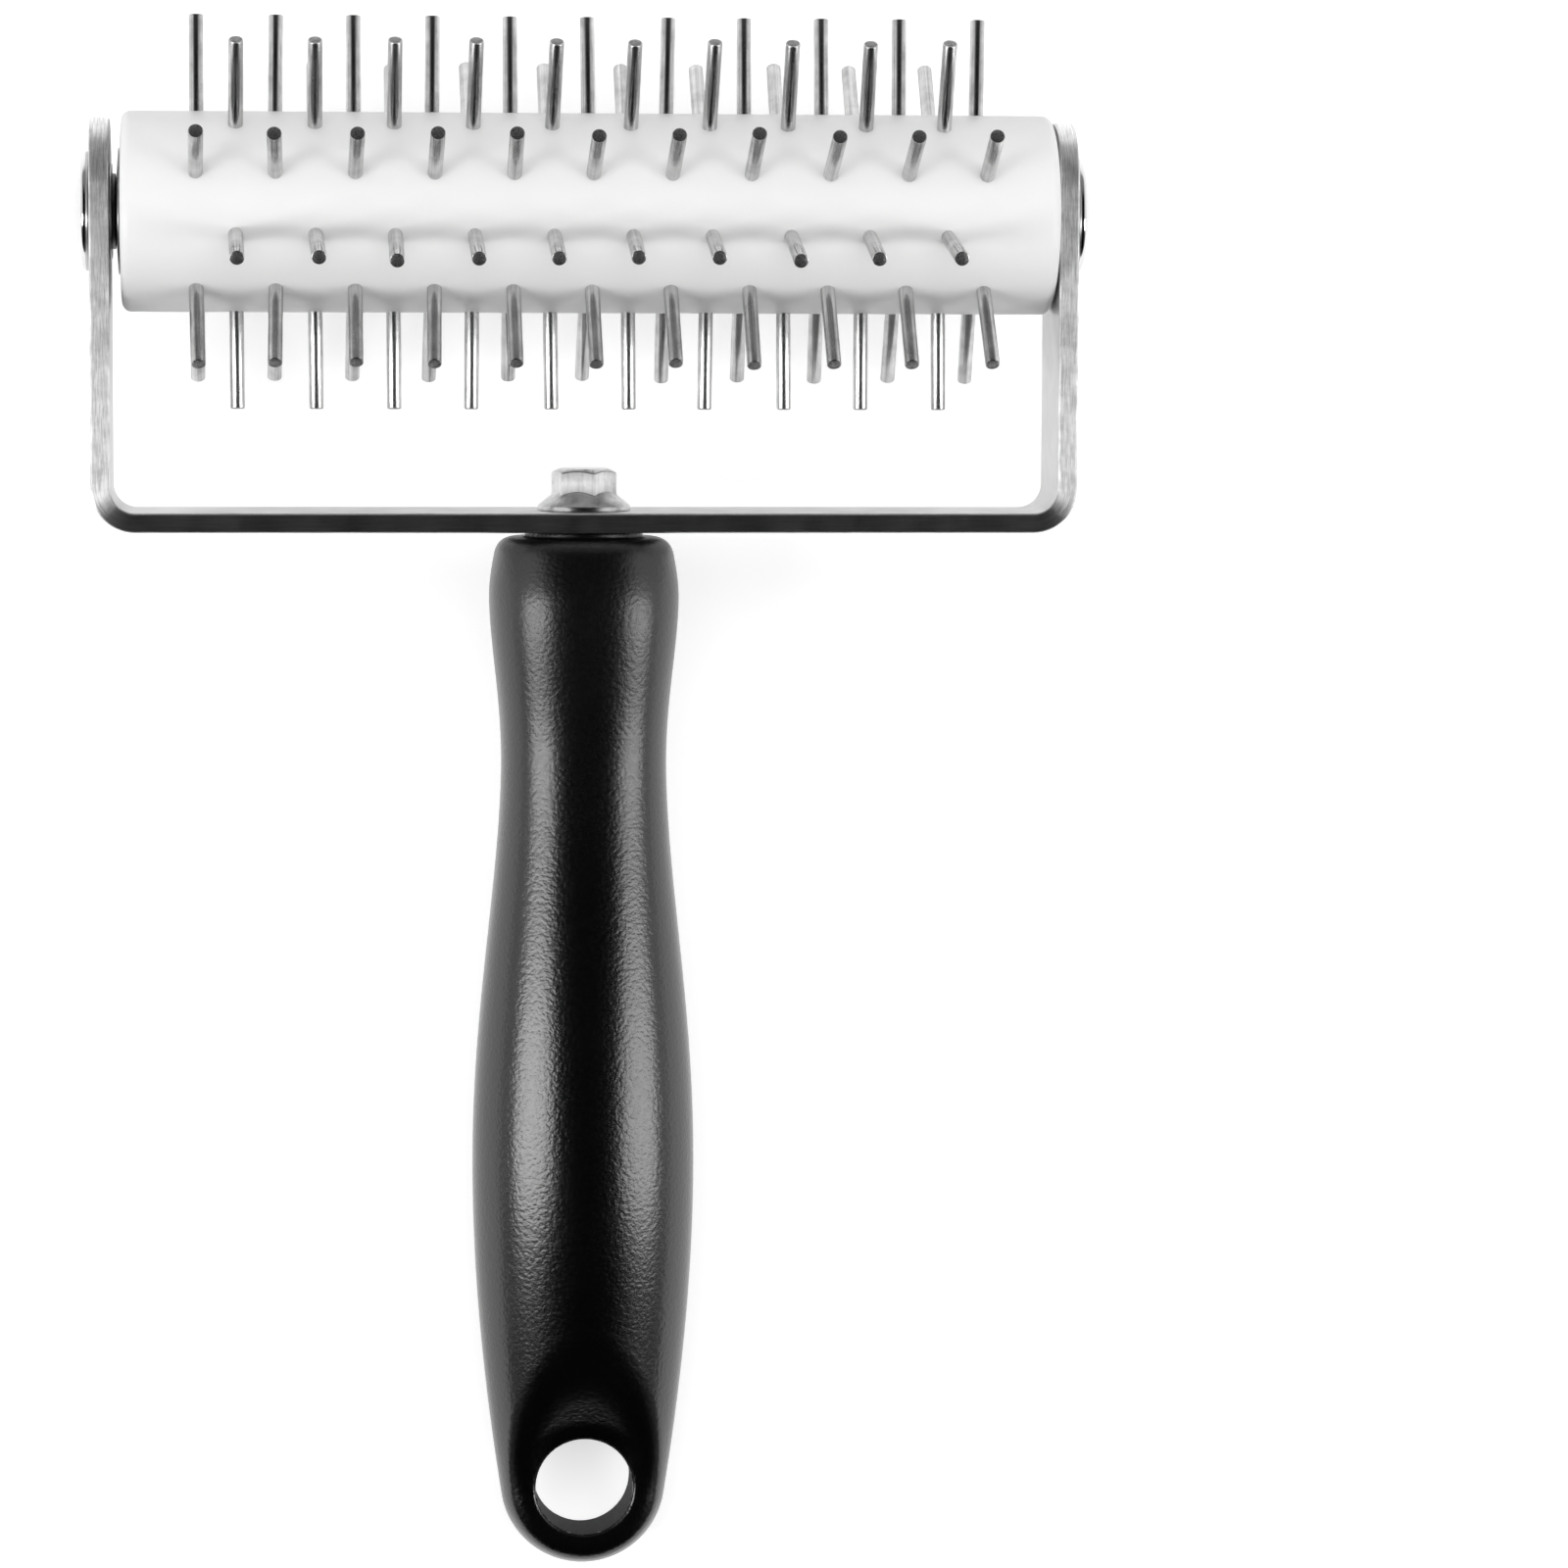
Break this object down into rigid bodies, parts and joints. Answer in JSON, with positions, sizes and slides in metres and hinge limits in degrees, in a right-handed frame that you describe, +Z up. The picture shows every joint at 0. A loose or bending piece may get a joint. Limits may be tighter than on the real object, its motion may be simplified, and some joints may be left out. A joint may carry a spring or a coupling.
{
  "type": "dough docker",
  "caption": "Hand roller for docking dough: a white roller set with rows of steel pins turns in a bent steel fork on a black handle.",
  "frame": {"origin": "on the table, under the middle of the tool's box, as it rests on two rows of pins and the handle's belly", "axes": "+X along the roller's axle, +Y from the handle to the roller, +Z up"},
  "size_m": [0.1396, 0.2143, 0.0516],
  "materials": {
    "handle_plastic": "fine moulded grain, satin",
    "insert_brass": "machined",
    "bolt_steel": "bright plated",
    "fork_steel": "mill finish, brushed along the strip",
    "axle_steel": "ground",
    "cap_steel": "polished",
    "washer_steel": "stamped",
    "spring_steel": "dark",
    "roller_plastic": "satin white",
    "pin_steel": "bright drawn wire"
  },
  "bodies": {
    "handle": {"handle_grip": "handle_plastic", "handle_insert": "insert_brass", "handle_bolt": "bolt_steel", "fork_bracket": "fork_steel", "axle_rod": "axle_steel", "axle_cap_left": "cap_steel", "axle_cap_right": "cap_steel", "fork_washer": "washer_steel", "spring_washer": "spring_steel", "thrust_washer": "washer_steel"},
    "roller": {"roller_core": "roller_plastic", "pin_row_01": "pin_steel", "pin_row_02": "pin_steel", "pin_row_03": "pin_steel", "pin_row_04": "pin_steel", "pin_row_05": "pin_steel", "pin_row_06": "pin_steel", "pin_row_07": "pin_steel", "pin_row_08": "pin_steel", "pin_row_09": "pin_steel", "pin_row_10": "pin_steel"}
  },
  "joints": [
    {"name": "roller_spin", "type": "hinge", "parent": "handle", "child": "roller", "pos_m": [0.0006, 0.0803, 0.0258], "axis": [1, 0, 0], "continuous": true}
  ]
}
